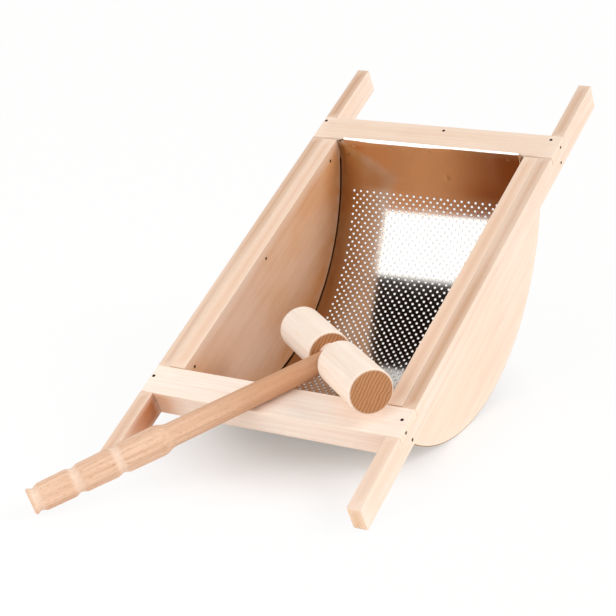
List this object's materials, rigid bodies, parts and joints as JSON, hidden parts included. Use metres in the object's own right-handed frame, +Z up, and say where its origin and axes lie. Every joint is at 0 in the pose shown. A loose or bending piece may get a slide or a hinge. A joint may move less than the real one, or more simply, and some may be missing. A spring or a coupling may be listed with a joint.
{
  "type": "tomato strainer",
  "caption": "Wooden trough strainer on two long arms with a round belly of perforated bright sheet, and a T-shaped wooden pestle for rubbing tomatoes through it.",
  "frame": {"origin": "point on the floor where the round belly touches it, on the middle plane between the arms", "axes": "X across the frame to the right, +Y along the frame from the low front to the raised back, Z up"},
  "size_m": [0.2792, 0.5974, 0.2565],
  "materials": {
    "frame_wood": "bare, planed",
    "cheek_wood": "bare, sawn edge",
    "head_wood": "bare, turned",
    "handle_wood": "bare, turned",
    "strainer_metal": "bright, tinned",
    "nail_iron": "dark",
    "tack_iron": "dark"
  },
  "bodies": {
    "frame": {"left_arm": "frame_wood", "right_arm": "frame_wood", "left_cheek": "cheek_wood", "right_cheek": "cheek_wood", "front_crossbar": "frame_wood", "back_crossbar": "frame_wood", "strainer_sheet": "strainer_metal", "left_cheek_nails": "nail_iron", "right_cheek_nails": "nail_iron", "front_top_nails": "nail_iron", "back_top_nails": "nail_iron", "left_front_end_nails": "nail_iron", "right_front_end_nails": "nail_iron", "left_back_end_nails": "nail_iron", "right_back_end_nails": "nail_iron", "left_edge_tacks": "tack_iron", "right_edge_tacks": "tack_iron", "front_end_tacks": "tack_iron", "back_end_tacks": "tack_iron"},
    "pestle": {"pestle_head": "head_wood", "pestle_handle": "handle_wood"}
  },
  "joints": [
    {"name": "pestle_lift", "type": "slide", "parent": "frame", "child": "pestle", "axis": [0, 0, 1], "range_m": [0, 0.25]}
  ]
}
